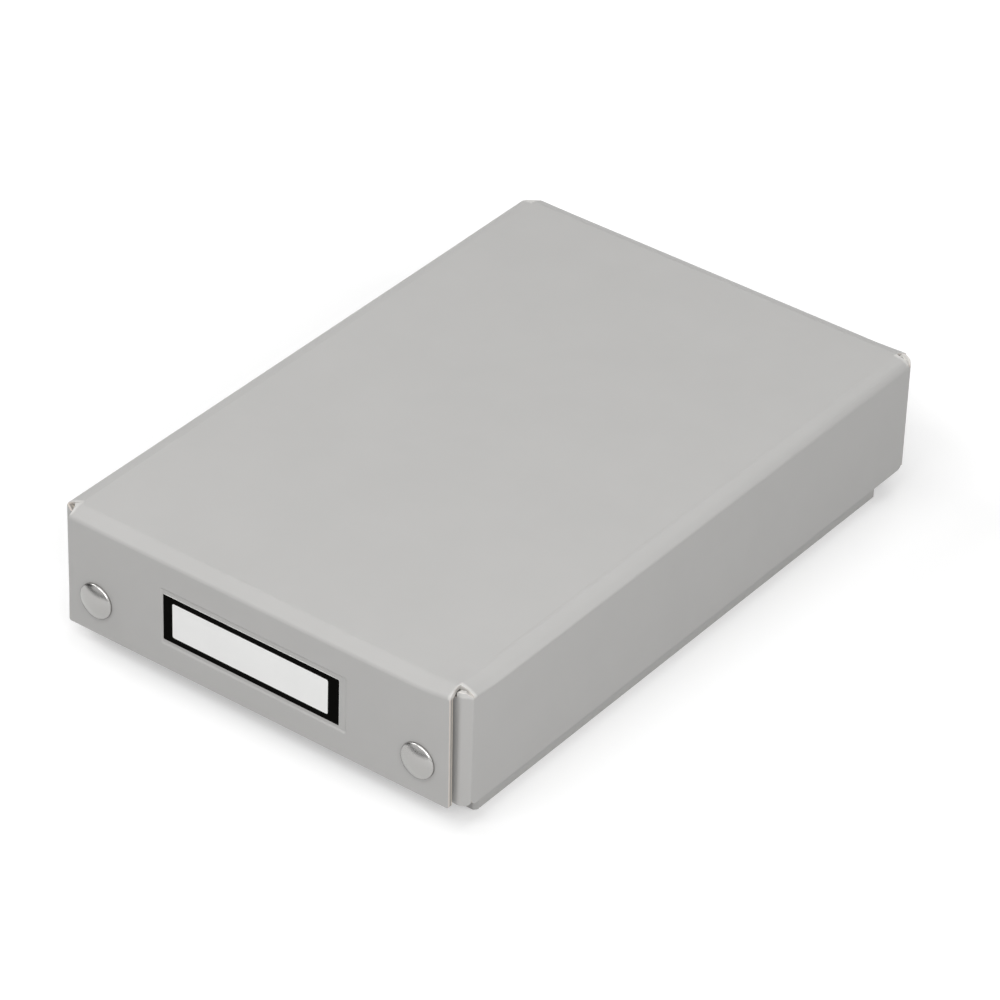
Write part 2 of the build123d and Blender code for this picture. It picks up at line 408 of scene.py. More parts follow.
def press_depth(point, pressed):
    """How deep the pressed recess is at a point of the flat blank."""
    if not pressed:
        return 0
    middle = (Vector(pressed[0]) + Vector(pressed[1])) / 2
    half = (Vector(pressed[1]) - Vector(pressed[0])) / 2
    beyond = [abs(point[axis] - middle[axis]) - half[axis] + recess_round for axis in (0, 1)]
    inside = recess_round - math.hypot(max(beyond[0], 0), max(beyond[1], 0)) - min(max(beyond), 0)
    return recess_depth * min(max(inside / recess_slope, 0), 1)


def board_panel(name, runs, place, holes=(), pressed=None, bends=(), cross_bends=()):
    """A panel of board: the flat blank given its thickness and rounded cut edges, then folded.

    place turns a distance along, a distance across and a share of the depth into a place.
    """
    blank = flat_blank(runs, holes, pressed, bends, cross_bends)
    sunk = blank.verts.layers.float["sunk"]
    panel = bmesh.new()
    ply = panel.verts.layers.float.new("ply")
    faces_of = {}
    for corner in blank.verts:
        rounding = corner[sunk] * edge_round / board
        dent = press_depth(corner.co, pressed) / board
        outer = panel.verts.new(place(corner.co.x, corner.co.y, rounding + dent))
        inner = panel.verts.new(place(corner.co.x, corner.co.y, 1 - rounding))
        outer[ply] = rounding
        inner[ply] = 1 - rounding
        faces_of[corner] = (outer, inner)
    for face in blank.faces:
        panel.faces.new([faces_of[corner][0] for corner in face.verts])
        panel.faces.new([faces_of[corner][1] for corner in reversed(face.verts)])
    for edge in blank.edges:
        if edge.is_boundary:
            a, b = edge.verts
            panel.faces.new((faces_of[a][0], faces_of[b][0], faces_of[b][1], faces_of[a][1]))
    blank.free()
    return finished(name, panel, board_finish)


def smooth_mesh(name, shape):
    """A mesh from a closed shape, smooth but for its sharp edges."""
    bmesh.ops.recalc_face_normals(shape, faces=shape.faces)
    mesh = bpy.data.meshes.new(name)
    shape.to_mesh(mesh)
    shape.free()
    mesh.shade_smooth()
    mesh.set_sharp_from_angle(angle=sharp_angle)
    return mesh


def in_scene(name, data):
    """A new object in the scene."""
    item = bpy.data.objects.new(name, data)
    scene.collection.objects.link(item)
    return item


def finished(name, shape, *finishes):
    """A new piece from a closed shape, with its finishes."""
    mesh = smooth_mesh(name, shape)
    for finish in finishes:
        mesh.materials.append(finish)
    piece = in_scene(name, mesh)
    weights = piece.modifiers.new("flat faces keep their shading", "WEIGHTED_NORMAL")
    weights.keep_sharp = True
    return piece


def dress(piece, body, slot, *nodes):
    """Sets a piece on its body in place of the CAD nodes that it stands for."""
    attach(piece, body)
    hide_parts(*nodes)


def board_piece(name, body, *shape, **details):
    """A panel of board on its body, in place of the CAD node of its name."""
    dress(board_panel(name, *shape, **details), body, "grey_board", name)


def spaced(start, end, step):
    """Evenly spaced values between two ends, without the ends."""
    count = max(int(abs(end - start) / step), 1)
    return [start + (end - start) * index / count for index in range(1, count)]


# Finishes
board_skin = (0.452, 0.447, 0.438)
board_plies = (
    (0.03, (0.62, 0.57, 0.53)),
    (0.34, (0.60, 0.545, 0.50)),
    (0.40, (0.30, 0.285, 0.265)),
    (0.78, (0.33, 0.31, 0.285)),
    (0.84, (0.62, 0.56, 0.47)),
    (0.95, (0.64, 0.59, 0.51)),
)
# Pale paint at the notch corners: scuffed paper with a painted highlight of the rolled rim
scuff_and_highlight_paint = (0.66, 0.65, 0.63, 1)
skin_share = 0.04
mottle_spread = 0.03
satin_spread = 0.15
wave_share = 3.0
board_tooth = 0.000006
label_tooth = 0.000002


class Finish:
    """A material, its Principled shader with values set by name, and short ways to add nodes to it."""

    def __init__(self, name, **values):
        self.material = bpy.data.materials.new(name)
        self.material.use_nodes = True
        self.tree = self.material.node_tree
        self.shader = self.tree.nodes["Principled BSDF"]
        for socket, value in values.items():
            self.shader.inputs[socket.replace("_", " ")].default_value = value

    def node(self, kind, **settings):
        return add_node(self.tree, kind, **settings)

    def link(self, output, socket):
        self.tree.links.new(output, self.shader.inputs[socket])


def add_node(tree, kind, **settings):
    """A node with its properties and its input values or links set by name."""
    node = tree.nodes.new(kind)
    for name, value in settings.items():
        if hasattr(node, name):
            setattr(node, name, value)
    for name, value in settings.items():
        if not hasattr(node, name):
            key = int(name[1:]) if name[1:].isdigit() else name.replace("_", " ")
            socket = node.inputs[key]
            if isinstance(value, bpy.types.NodeSocket):
                tree.links.new(value, socket)
            else:
                socket.default_value = value
    return node


def maths(tree, operation, *values, kind="ShaderNodeMath"):
    """The result of a maths node on values and links."""
    settings = {f"_{index}": value for index, value in enumerate(values)}
    return add_node(tree, kind, operation=operation, **settings).outputs[0]


vector_maths = partial(maths, kind="ShaderNodeVectorMath")


def node_group(name, kind, inputs, outputs):
    """An empty group of nodes with its sockets, and its input and output nodes."""
    tree = bpy.data.node_groups.new(name, kind)
    for socket, kind in inputs.items():
        tree.interface.new_socket(socket, in_out="INPUT", socket_type=kind)
    for socket, kind in outputs.items():
        tree.interface.new_socket(socket, in_out="OUTPUT", socket_type=kind)
    return tree, tree.nodes.new("NodeGroupInput"), tree.nodes.new("NodeGroupOutput")


def paper_grain_group():
    """Soft cloudy mottling and the fine tooth of coated paper."""
    tree, start, end = node_group("paper grain", "ShaderNodeTree", {"Place": "NodeSocketVector"},
                                  {"Mottle": "NodeSocketFloat", "Tooth": "NodeSocketFloat"})
    place = start.outputs["Place"]
    clouds = add_node(tree, "ShaderNodeTexNoise", Vector=place, Scale=55.0, Detail=3.0, Roughness=0.55)
    fibres = add_node(tree, "ShaderNodeTexNoise", Vector=place, Scale=1500.0, Detail=2.0, Roughness=0.6)
    waves = add_node(tree, "ShaderNodeTexNoise", Vector=place, Scale=130.0, Detail=2.0, Roughness=0.5)
    tooth = maths(tree, "MULTIPLY_ADD", waves.outputs[0], wave_share, fibres.outputs[0])
    tree.links.new(clouds.outputs[0], end.inputs["Mottle"])
    tree.links.new(tooth, end.inputs["Tooth"])
    return tree


def corner_scuff_highlight_group():
    """Pale paint around the notches at the lid's corners: scuffed paper and a painted highlight on the rolled
    rim.
    """
    tree, start, end = node_group("corner scuff and highlight", "ShaderNodeTree", {"Place": "NodeSocketVector"},
                                  {"Scuff And Highlight": "NodeSocketFloat"})
    corner = (lid_side - scuff_highlight_inset, lid_end - scuff_highlight_setback, lid_top - scuff_highlight_drop)
    place = start.outputs["Place"]
    jitter = add_node(tree, "ShaderNodeTexNoise", Vector=place, Scale=1400.0, Detail=2.0)
    shift = add_node(tree, "ShaderNodeVectorMath", operation="SCALE", _0=jitter.outputs["Color"],
                     Scale=scuff_highlight_jitter)
    shaken = vector_maths(tree, "ADD", vector_maths(tree, "ABSOLUTE", place), shift.outputs[0])
    beyond = vector_maths(tree, "SUBTRACT", shaken, corner)
    short = vector_maths(tree, "MINIMUM", beyond, (0, 0, 0))
    away = add_node(tree, "ShaderNodeVectorMath", operation="LENGTH", _0=short).outputs["Value"]
    scuff_highlight = add_node(tree, "ShaderNodeMapRange", Value=away, From_Max=scuff_highlight_fade, To_Min=1.0, To_Max=0.0)
    tree.links.new(scuff_highlight.outputs[0], end.inputs["Scuff And Highlight"])
    return tree


paper_grain = paper_grain_group()
corner_scuff_highlight = corner_scuff_highlight_group()


def mottled(finish, colour, tooth_depth):
    """A colour mottled by the paper grain, whose tooth goes under the finish's bump."""
    place = finish.node("ShaderNodeTexCoord").outputs["Object"]
    grain = finish.node("ShaderNodeGroup", node_tree=paper_grain, Place=place)
    bump = finish.node("ShaderNodeBump", Strength=1.0, Distance=tooth_depth, Height=grain.outputs["Tooth"])
    finish.link(bump.outputs["Normal"], "Normal")
    shade = finish.node("ShaderNodeMapRange", Value=grain.outputs["Mottle"], To_Min=1 - mottle_spread,
                        To_Max=1 + mottle_spread)
    tint = finish.node("ShaderNodeVectorMath", operation="SCALE", _0=colour, Scale=shade.outputs[0])
    return tint.outputs[0]


def mixed(finish, share, below, above):
    """One colour over another by a share."""
    return finish.node("ShaderNodeMix", data_type="RGBA", _0=share, _6=below, _7=above).outputs[2]


def board_material():
    """Grey coated board, with its plies at the cut edges, and pale paint at the notch corners for scuffing and
    a painted rim highlight.
    """
    finish = Finish("grey board", Roughness=0.55, Specular_IOR_Level=0.35)
    skin = mottled(finish, board_skin, board_tooth)
    ply = finish.node("ShaderNodeAttribute", attribute_name="ply").outputs["Fac"]
    plies = finish.node("ShaderNodeValToRGB", Fac=ply)
    ramp = plies.color_ramp
    for element, (position, colour) in zip(ramp.elements, (board_plies[0], board_plies[-1])):
        element.position = position
        element.color = (*colour, 1)
    for position, colour in board_plies[1:-1]:
        ramp.elements.new(position).color = (*colour, 1)
    outside = maths(finish.tree, "GREATER_THAN", ply, skin_share)
    inside = maths(finish.tree, "LESS_THAN", ply, 1 - skin_share)
    cut = maths(finish.tree, "MULTIPLY", outside, inside)
    place = finish.node("ShaderNodeTexCoord").outputs["Object"]
    scuff_highlight = finish.node("ShaderNodeGroup", node_tree=corner_scuff_highlight, Place=place)
    # Pale paint at the notches: scuffing and a painted highlight of the rolled rim
    scuffed_and_lit = maths(finish.tree, "MULTIPLY", scuff_highlight.outputs["Scuff And Highlight"], scuff_highlight_share)
    colour = mixed(finish, cut, skin, plies.outputs["Color"])
    finish.link(mixed(finish, scuffed_and_lit, colour, scuff_and_highlight_paint), "Base Color")
    return finish.material


def metal_material(name, colour, roughness):
    """Plated sheet metal with a fine satin."""
    finish = Finish(name, Base_Color=(*colour, 1), Metallic=1.0)
    place = finish.node("ShaderNodeTexCoord").outputs["Object"]
    haze = finish.node("ShaderNodeTexNoise", Vector=place, Scale=900.0, Detail=3.0)
    rough = finish.node("ShaderNodeMapRange", Value=haze.outputs[0], To_Min=roughness * (1 - satin_spread),
                        To_Max=roughness * (1 + satin_spread))
    finish.link(rough.outputs[0], "Roughness")
    return finish.material


def label_material(name, colour, roughness, shine):
    """Label paper or the ink printed on it."""
    finish = Finish(name, Roughness=roughness, Specular_IOR_Level=shine)
    finish.link(mottled(finish, colour, label_tooth), "Base Color")
    return finish.material


board_finish = board_material()
nickel_finish = metal_material("satin nickel", (0.41, 0.405, 0.395), 0.25)
spring_finish = metal_material("spring steel", (0.42, 0.42, 0.43), 0.32)
paper_finish = label_material("label paper", (0.86, 0.86, 0.85), 0.6, 0.3)
ink_finish = label_material("black ink", (0.0022, 0.0021, 0.0018), 0.6, 0.01)


# Lid
end_crease = lid_end - end_shoulder_depth
side_crease = lid_side - side_shoulder_width
wall_end = lid_tab_face - lid_fold_depth
wall_joint = wall_end - fold_reach
notch_end = lid_end - notch_setback
notch_foot = lid_top - notch_drop
seam_side = lid_side - seam_inset
seam_end = lid_end - seam_setback
flap_top_side = flap_side - flap_top_inset
flap_foot_side = flap_side - flap_foot_inset
lid_snap_x = high("lid_front_snap_caps").x - cap_radius
lid_snap_z = low("lid_front_snap_caps").z + cap_radius

hands = (("left", -1), ("right", 1))
ends = (("front", -1), ("back", 1))


def lid_end_section(lift, low_bend, high_bend):
    """Section of a lid end, from the flap's foot over the shoulder to the middle of the top."""
    points = [(lid_end, lid_foot), (lid_end, flap_crease + lift), (end_crease, lid_top),
              (0, lid_top)]
    return Section(points, [low_bend, high_bend])


end_fold = Fold(lid_end_section(0, end_low_bend, end_high_bend),
                lid_end_section(soft_corner_rise, corner_low_bend, corner_high_bend))
crease_low = end_fold.crisp.distance(flap_crease - crease_reach, 1)
crease_high = crease_low + 2 * crease_reach
end_rounding = spaced(flap_side - soft_corner_width, flap_side, soft_corner_width / corner_steps)
end_cross_bends = end_rounding + [-across for across in end_rounding]
proud_bends = spaced(0, proud_corner_reach, proud_corner_reach / corner_steps)
upright_bends = spaced(lid_foot, lid_top, upright_spacing)
wall_bends = [level - lid_foot for level in upright_bends]


def proud_corner(x, y, z):
    """A place on the lid, raised where it is near one of the right corners."""
    beside = eased(1 - (lid_side - x) / proud_corner_reach)
    behind = eased(1 - (lid_end - abs(y)) / proud_corner_reach)
    above = eased((z - lid_foot) / (lid_top - lid_foot))
    lift = proud_corner_lifts["back" if y > 0 else "front"]
    return (x, y, z + lift * beside * behind * above)


def end_place(way, along, across, depth):
    """A place on a lid end, whose crease softens towards the corners."""
    softness = eased(1 - (flap_side - abs(across)) / soft_corner_width)
    place = end_fold.at(along, depth, softness)
    return proud_corner(across, way * place.x, place.y)


def within(values, start, end):
    """The values that lie between two ends."""
    return [value for value in values if start < value < end]


def notch_edge(start, end, steps):
    """The slightly hollow cut edge of a notch, between two points of a flat blank."""
    points = []
    for step in range(steps + 1):
        share = step / steps
        hollow = notch_hollow * math.sin(math.pi * share)
        points.append((start[0] + (end[0] - start[0]) * share,
                       start[1] + (end[1] - start[1]) * share - hollow))
    return points


def lid_top_panel():
    """The flat top with its two end shoulders, which run on to the flaps' creases."""
    length = end_fold.length
    crease = length - crease_high
    notch = length - end_fold.crisp.distance(notch_end, 0)

    def place(along, across, depth):
        x, y, z = end_place(math.copysign(1, along), length - abs(along), across, depth)
        drop = side_shoulder_drop if along < 0 else worn_shoulder_drop
        share = min(max((crease - abs(along)) / (crease - notch), 0), 1)
        return (x, y, z - share * drop * max(abs(across) - side_crease, 0) / side_shoulder_width)

    def corner(side):
        inner = lid_side - notch_insets[side]
        return notch_edge((crease, flap_top_side), (notch, inner), top_notch_steps)

    seam = length - end_fold.crisp.distance(seam_end, 0)
    runs = [
        corner("right"),
        [(seam, seam_side)],
        [(-seam, seam_side)],
        [(-along, across) for along, across in reversed(corner("right"))],
        [(-along, -across) for along, across in corner("left")],
        [(-seam, -seam_side)],
        [(seam, -seam_side)],
        [(along, -across) for along, across in reversed(corner("left"))],
    ]
    bends = [length - along for along in end_fold.bends]
    bends += [lid_end - step for step in proud_bends]
    bends = within(bends + [-along for along in bends], -crease, crease)
    board_piece("lid_top_panel", "lid", runs, place, bends=bends, cross_bends=end_cross_bends)


def lid_crease(end, way):
    """The board at a flap's crease, which bends as the flap opens."""
    place = partial(end_place, way)
    runs = [
        [(crease_high, flap_top_side), (crease_low, flap_top_side)],
        [(crease_low, -flap_top_side), (crease_high, -flap_top_side)],
    ]
    bends = within(end_fold.bends, crease_low, crease_high)
    piece = board_panel(f"lid_{end}_crease", runs, place, bends=bends, cross_bends=end_cross_bends)
    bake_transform(piece, "lid", f"lid_{end}_flap", start=place(crease_high, 0, 0), end=place(crease_low, 0, 0))


def lid_flap(end, way):
    """An end flap, with holes for its snaps and at the front the recess for the label."""
    pressed = None
    if end == "front":
        lowest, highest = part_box("label")
        pressed = ((lowest.z - recess_bottom_margin - lid_foot, lowest.x - recess_left_margin),
                   (highest.z + recess_top_margin - lid_foot, highest.x + recess_right_margin))
    foot_side = flap_foot_side - flap_round
    run = ([(crease_low, flap_top_side)]
           + corner_arc((flap_round, foot_side), flap_round, 90, 90)
           + corner_arc((flap_round, -foot_side), flap_round, 180, 90)
           + [(crease_low, -flap_top_side)])
    level = lid_snap_z - lid_foot
    holes = [((level, hand * lid_snap_x), barrel_radius + hole_fit) for side, hand in hands]
    bends = within(end_fold.bends + wall_bends, 0, crease_low)
    place = partial(end_place, way)
    name = f"lid_{end}_flap"
    board_piece(name, name, [run], place, holes, pressed, bends, end_cross_bends)


def lid_wall_section(drop, bend, middle_share):
    """Section of a lid wall from its foot over the shoulder to the edge of the top."""
    upper = Vector((side_crease, lid_top))
    lower = Vector((lid_side, lid_top - drop))
    outwards = Vector((drop, side_shoulder_width)).normalized()
    middle = lower.lerp(upper, middle_share) + outwards * (drop * side_shoulder_bulge)
    points = [(lid_side, lid_foot), lower, middle, upper, (seam_side, lid_top)]
    return Section(points, [bend, side_shoulder_bend, 2 * bend])


side_fold = Fold(lid_wall_section(side_shoulder_drop, side_bend, shoulder_middle),
                 lid_wall_section(worn_shoulder_drop, worn_side_bend, worn_shoulder_middle))


def lid_wall(side, hand):
    """A long wall of the lid. Its fold is crisp at the front and worn round towards the back."""
    top = side_fold.length
    notch = side_fold.crisp.distance(lid_side - notch_insets[side], 0)
    shoulder = notch_foot - lid_foot

    def place(along, across, depth):
        softness = ((across + wall_end) / (2 * wall_end)) ** 2
        point = side_fold.at(along, depth, softness)
        return proud_corner(hand * point.x, across, point.y)

    arch = notch_edge((notch, notch_end), (shoulder, wall_joint), wall_notch_steps)
    relief_end = wall_joint - relief_round
    foot = (corner_arc((relief_round, relief_end), relief_round, 90, 90)
            + corner_arc((relief_round, -relief_end), relief_round, 180, 90))
    runs = [arch, foot, [(along, -across) for along, across in reversed(arch)], [(top, -seam_end)],
            [(top, seam_end)]]
    bends = side_fold.bends + wall_bends
    cross_bends = [lid_end - step for step in proud_bends]
    cross_bends += [-across for across in cross_bends] + spaced(-wall_end, wall_end, lengthwise_spacing)
    board_piece(f"lid_{side}_wall", "lid", runs, place, bends=bends, cross_bends=cross_bends)


def tab_end(foot, top):
    """The two rounded corners at the end of a corner tab."""
    return (corner_arc((tab_round, top - tab_round), tab_round, 90, 90)
            + corner_arc((tab_round, foot + tab_round), tab_round, 180, 90))


def lid_tab(end, way, side, hand):
    """A corner tab of the lid, which lies behind an end flap and shows in the notch beside it."""
    fold_start = lid_side - lid_fold_width
    points = [(lid_tab_end, -lid_tab_face), (fold_start - tab_spring_reach, -lid_tab_face),
              (fold_start, -lid_tab_face - tab_spring), (lid_side, -wall_end), (lid_side, -wall_joint)]
    section = Section(points, [tab_spring_bend, tab_bend, tab_corner_bend])
    length = section.length

    def place(along, across, depth):
        point = section.at(along, depth)
        return proud_corner(hand * point.x, -way * point.y, across)

    rise = []
    if side == "right":
        rise_start = section.distance(flap_top_side, 0)
        rise_end = section.distance(lid_side - tab_insets[end], 0)
        rise_top = lid_top - tab_drops[end]
        rise = (corner_arc((rise_end - tray_round, rise_top - tray_round), tray_round, 30, 60)
                + corner_arc((rise_start + tray_round, rise_top - tray_round), tray_round, 90, 90)
                + [(rise_start, lid_tab_top)])
    run = ([(length, notch_foot)] + rise + tab_end(lid_foot, lid_tab_top)
           + corner_arc((length - relief_round, lid_foot + relief_round), relief_round, 270, 90))
    holes = [((lid_snap_x - lid_tab_end, lid_snap_z), post_radius + hole_fit)]
    board_piece(f"lid_{end}_{side}_tab", "lid", [run], place, holes, bends=section.bends,
                cross_bends=upright_bends)


lid_top_panel()
for side, hand in hands:
    lid_wall(side, hand)
for end, way in ends:
    lid_crease(end, way)
    lid_flap(end, way)
    for side, hand in hands:
        lid_tab(end, way, side, hand)


# Tray
floor_side = tray_side - tray_fold - fold_reach
floor_front = tray_wall_front + tray_fold + fold_reach
floor_back = tray_wall_back - tray_fold - fold_reach
tray_joint_foot = tray_tab_foot + tray_round
tray_snap_x = high("tray_front_snap_caps").x - cap_radius
tray_snap_z = low("tray_front_snap_caps").z + cap_radius


def tray_section(distance):
    """Section of a tray wall at a distance from the middle, from the floor up to its top edge."""
    points = [(distance - tray_fold - fold_reach, 0), (distance - tray_fold, 0), (distance, tray_fold),
              (distance, tray_top)]
    return Section(points, [tray_bend, tray_bend])


def tray_floor():
    """The tray's floor, between the folds of its four walls."""
    def place(along, across, depth):
        return (across, along, board * depth)

    corners = ((floor_back, floor_side, 0), (floor_front, floor_side, 90), (floor_front, -floor_side, 180),
               (floor_back, -floor_side, 270))
    runs = []
    for along, across, start in corners:
        centre = (along - math.copysign(tray_round, along), across - math.copysign(tray_round, across))
        runs.append(corner_arc(centre, tray_round, start, 90))
    board_piece("tray_floor", "tray", runs, place)


def tray_side_wall(side, hand):
    """A long wall of the tray with its fold to the floor."""
    section = tray_section(tray_side)
    length = section.length
    joint_foot = section.distance(tray_joint_foot, 1)
    front = tray_front + tray_fold + fold_reach
    back = tray_back - tray_fold - fold_reach

    def place(along, across, depth):
        point = section.at(along, depth)
        return (hand * point.x, across, point.y)

    runs = [
        [(0, floor_front + tray_round), (0, front + tray_round),
         (section.bends[0], front + tray_round / 2), (joint_foot, front)],
        [(length, front), (length, back)],
        [(joint_foot, back), (section.bends[0], back - tray_round / 2), (0, back - tray_round),
         (0, floor_back - tray_round)],
    ]
    board_piece(f"tray_{side}_wall", "tray", runs, place, bends=section.bends)


def tray_end_wall(end, way):
    """An end wall of the tray, inside the corner tabs that its snaps hold."""
    section = tray_section(tray_wall_back if end == "back" else -tray_wall_front)
    length = section.length
    joint_side = floor_side - tray_round

    def place(along, across, depth):
        point = section.at(along, depth)
        return (across, way * point.x, point.y)

    inner_side = tray_wall_side - tray_round
    run = ([(0, -joint_side), (section.bends[1], -tray_wall_side)]
           + corner_arc((length - tray_round, -inner_side), tray_round, 270, 90)
           + corner_arc((length - tray_round, inner_side), tray_round, 0, 90)
           + [(section.bends[1], tray_wall_side), (0, joint_side)])
    level = section.distance(tray_snap_z, 1)
    holes = [((level, hand * tray_snap_x), post_radius + hole_fit) for side, hand in hands]
    board_piece(f"tray_{end}_wall", "tray", [run], place, holes, bends=section.bends)


def tray_tab(end, way, side, hand):
    """A corner tab of the tray, folded from its long wall round the outside of an end wall."""
    face = tray_back if end == "back" else -tray_front
    points = [(tray_tab_end, -face), (tray_side - tray_fold, -face), (tray_side, tray_fold - face),
              (tray_side, tray_fold + fold_reach - face)]
    section = Section(points, [tray_bend, tray_bend])
    length = section.length

    def place(along, across, depth):
        point = section.at(along, depth)
        return (hand * point.x, -way * point.y, across)

    run = ([(length, tray_top)] + tab_end(tray_tab_foot, tray_top)
           + corner_arc((length - tray_round, tray_joint_foot), tray_round, 270, 90))
    holes = [((tray_snap_x - tray_tab_end, tray_snap_z), barrel_radius + hole_fit)]
    board_piece(f"tray_{end}_{side}_tab", "tray", [run], place, holes, bends=section.bends)


tray_floor()
for side, hand in hands:
    tray_side_wall(side, hand)
for end, way in ends:
    tray_end_wall(end, way)
    for side, hand in hands:
        tray_tab(end, way, side, hand)


# Label
def label_piece():
    """The paper label: a bare white field inside a printed black border, stuck in the recess."""
    lowest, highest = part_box("label")
    outer = rounded_rectangle((lowest.x, lowest.z), (highest.x, highest.z), label_round)
    inner = rounded_rectangle((lowest.x + border_left, lowest.z + border_end),
                              (highest.x - border_right, highest.z - border_end), field_round)
    sheet = bmesh.new()
    front = [sheet.verts.new((x, lowest.y, z)) for x, z in outer]
    back = [sheet.verts.new((x, highest.y, z)) for x, z in outer]
    field = [sheet.verts.new((x, lowest.y, z)) for x, z in inner]
    sheet.faces.new(field)
    sheet.faces.new(reversed(back))
    strip_between(sheet, front, back)
    for printed in strip_between(sheet, front, field):
        printed.material_index = 1
    dress(finished("label", sheet, paper_finish, ink_finish), "lid_front_flap", "label_paper", "label")


label_piece()


# Snaps
def turned(name, outline):
    """A piece turned about Y from an outline of radius and distance along the axis."""
    shape = bmesh.new()
    corners = [shape.verts.new((radius, distance, 0)) for radius, distance in outline]
    edges = [shape.edges.new(pair) for pair in zip(corners, corners[1:])]
    bmesh.ops.spin(shape, geom=corners + edges, axis=(0, 1, 0), cent=(0, 0, 0), angle=2 * math.pi,
                   steps=turn_steps, use_merge=True)
    bmesh.ops.remove_doubles(shape, verts=shape.verts[:], dist=merge_distance)
    return smooth_mesh(name, shape)


def softened(points, radius):
    """An outline with its inner corners rounded."""
    points = [Vector(point) for point in points]
    return rounded_line(points, [radius] * (len(points) - 2))


def cap_shape():
    """Shallow domed cap with a round shoulder, and the barrel that is rolled over inside the socket."""
    rise = cap_height - cap_rim
    flat = cap_radius - cap_shoulder
    dome_radius = (flat ** 2 + rise ** 2 - cap_shoulder ** 2) / (2 * (rise - cap_shoulder))
    slope = math.asin(flat / (dome_radius - cap_shoulder))
    outline = []
    for angle in np.linspace(0, slope, dome_steps + 1):
        outline.append((dome_radius * math.sin(angle), dome_radius * (1 - math.cos(angle)) - cap_height))
    for angle in np.linspace(slope, math.pi / 2, cap_shoulder_steps + 1)[1:]:
        outline.append((flat + cap_shoulder * math.sin(angle), -cap_rim - cap_shoulder * math.cos(angle)))
    outline += [(cap_radius, -edge_round), (cap_radius - edge_round, 0)]
    outline += [(barrel_radius, 0), (barrel_radius, roll_start), (roll_radius, roll_start),
                (roll_radius, roll_end), (bore_radius, roll_end), (bore_radius, -cap_hollow),
                (0, -cap_hollow)]
    return turned("snap cap", outline)


def socket_shape():
    """Ring against the board's inner face, with an inward lip that keeps the spring in."""
    hole = barrel_radius + hole_fit
    outside = softened([(hole, board), (socket_radius, board), (socket_radius, socket_face),
                        (socket_mouth_radius, socket_face), (socket_mouth_radius, socket_lip)], edge_round)
    inside = [(socket_cavity_radius, socket_lip), (socket_cavity_radius, roll_start), (hole, roll_start),
              (hole, board)]
    return turned("snap socket", outside + inside)


def stud_shape():
    """Ball-headed stud on a flange."""
    outline = softened([(0, stud_head_end), (stud_head_radius, stud_head_end), (stud_head_radius, roll_end),
                        (stud_neck_radius, roll_end), (stud_neck_radius, stud_flange_face),
                        (stud_flange_radius, stud_flange_face), (stud_flange_radius, stud_face)], edge_round)
    return turned("snap stud", outline + [(post_radius, stud_face)])


def post_shape():
    """Flat-headed post from the inner board's far face into the stud."""
    outline = softened([(0, post_end), (post_radius, post_end), (post_radius, post_face),
                        (post_head_radius, post_face), (post_head_radius, post_head_face),
                        (0, post_head_face)], edge_round)
    return turned("snap post", outline)


def spring_shape():
    """Hairpin of round wire around the stud."""
    leg = stud_head_radius + wire_play + wire_radius
    reach = socket_cavity_radius - hairpin_play
    bow = reach - wire_radius - leg
    leg_end = -math.sqrt(reach ** 2 - (leg + wire_radius) ** 2)
    points = [(leg, leg_end)] + corner_arc((0, bow), leg, 0, 180, hairpin_steps) + [(-leg, leg_end)]
    shape = bmesh.new()
    rings = []
    line = [Vector(point) for point in points]
    for before, point, after in zip(line[:1] + line, line, line[1:] + line[-1:]):
        along = (after - before).normalized()
        side = Vector((along.y, 0, -along.x))
        middle = Vector((point.x, wire_level, point.y))
        ring = []
        for angle in np.linspace(0, 2 * math.pi, wire_sides, endpoint=False):
            spoke = side * math.cos(angle) + Vector((0, math.sin(angle), 0))
            ring.append(shape.verts.new(middle + spoke * wire_radius))
        rings.append(ring)
    for ring, following in zip(rings, rings[1:]):
        strip_between(shape, ring, following)
    shape.faces.new(rings[0])
    shape.faces.new(reversed(rings[-1]))
    return smooth_mesh("snap spring", shape)


def snap_pair_tree():
    """Geometry nodes that set a snap's piece at both of an end's two places."""
    inputs = {"Piece": "NodeSocketGeometry", "Half Spacing": "NodeSocketFloat", "Face": "NodeSocketFloat",
              "Level": "NodeSocketFloat", "Turn": "NodeSocketFloat", "Finish": "NodeSocketMaterial"}
    tree, start, end = node_group("snap pair", "GeometryNodeTree", inputs, {"Pair": "NodeSocketGeometry"})
    start = start.outputs
    left = maths(tree, "MULTIPLY", start["Half Spacing"], -1.0)
    across = maths(tree, "MULTIPLY", start["Half Spacing"], 2.0)
    first = add_node(tree, "ShaderNodeCombineXYZ", X=left, Y=start["Face"], Z=start["Level"])
    step = add_node(tree, "ShaderNodeCombineXYZ", X=across)
    places = add_node(tree, "GeometryNodeMeshLine", Count=2, Start_Location=first.outputs[0],
                      Offset=step.outputs[0])
    turn = add_node(tree, "ShaderNodeCombineXYZ", Z=start["Turn"])
    copies = add_node(tree, "GeometryNodeInstanceOnPoints", Points=places.outputs[0],
                      Instance=start["Piece"], Rotation=turn.outputs[0])
    real = add_node(tree, "GeometryNodeRealizeInstances", Geometry=copies.outputs[0])
    coated = add_node(tree, "GeometryNodeSetMaterial", Geometry=real.outputs[0], Material=start["Finish"])
    tree.links.new(coated.outputs[0], end.inputs["Pair"])
    return tree


snap_pair = snap_pair_tree()


